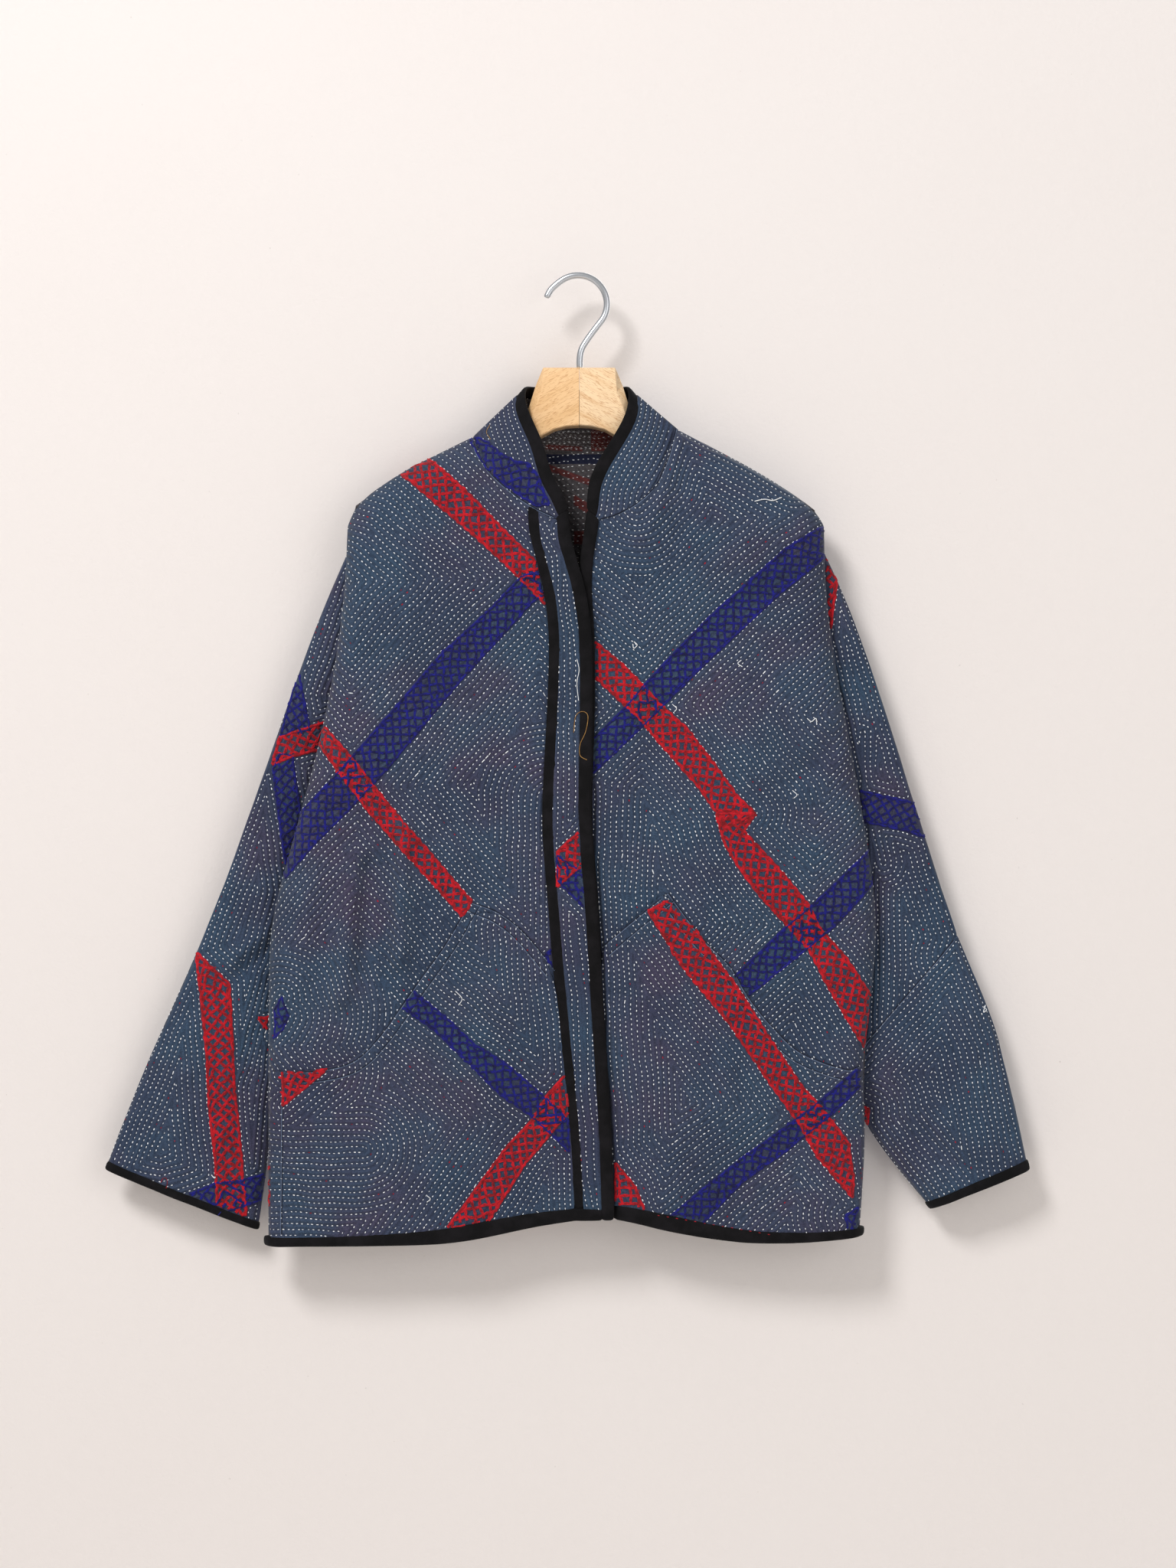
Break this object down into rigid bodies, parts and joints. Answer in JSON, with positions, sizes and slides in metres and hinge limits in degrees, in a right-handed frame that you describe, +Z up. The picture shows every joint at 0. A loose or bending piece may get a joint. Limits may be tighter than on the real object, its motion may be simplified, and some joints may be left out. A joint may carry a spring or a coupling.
{
  "type": "quilted stand-collar jacket on a wooden hanger",
  "caption": "Running-stitch quilted jacket with a stand collar, lapped front, patch pockets, wide sleeves and black bias bindings, hung on a wooden hanger.",
  "frame": {"origin": "inner top of the hook's bend, where the hook rests on a pin or rail", "axes": "+Z up, the jacket's front faces -Y, the wall is on the +Y side, and the wearer's right is at -X"},
  "size_m": [0.8541, 0.0577, 0.8938],
  "materials": {
    "quilted_cloth": "slate blue cotton, two layers held by rows of white running stitch 5 to 6 mm apart, matt and puckered",
    "binding": "black cotton bias tape, matt",
    "beech": "pale beech with short flecks, satin lacquer",
    "aluminium": "satin aluminium wire",
    "white_thread": "white cotton running stitches",
    "red_thread": "red chain-stitch lattice",
    "blue_thread": "ultramarine chain-stitch lattice"
  },
  "bodies": {
    "root": {"hanger_hook": "aluminium", "hanger_wood_right": "beech", "hanger_wood_left": "beech", "back": "quilted_cloth", "hem_tape_back": "binding", "sleeve_right": "quilted_cloth", "cuff_tape_right": "binding", "sleeve_left": "quilted_cloth", "sleeve_left_end": "quilted_cloth", "cuff_tape_left": "binding", "collar": "quilted_cloth", "collar_tape": "binding", "front_left": "quilted_cloth", "pocket_left": "quilted_cloth", "edge_tape_left": "binding", "hem_tape_left": "binding", "front_right": "quilted_cloth", "pocket_right": "quilted_cloth", "placket_tape": "binding", "placket_strip": "quilted_cloth", "edge_tape_right": "binding", "hem_tape_right": "binding"}
  },
  "joints": []
}
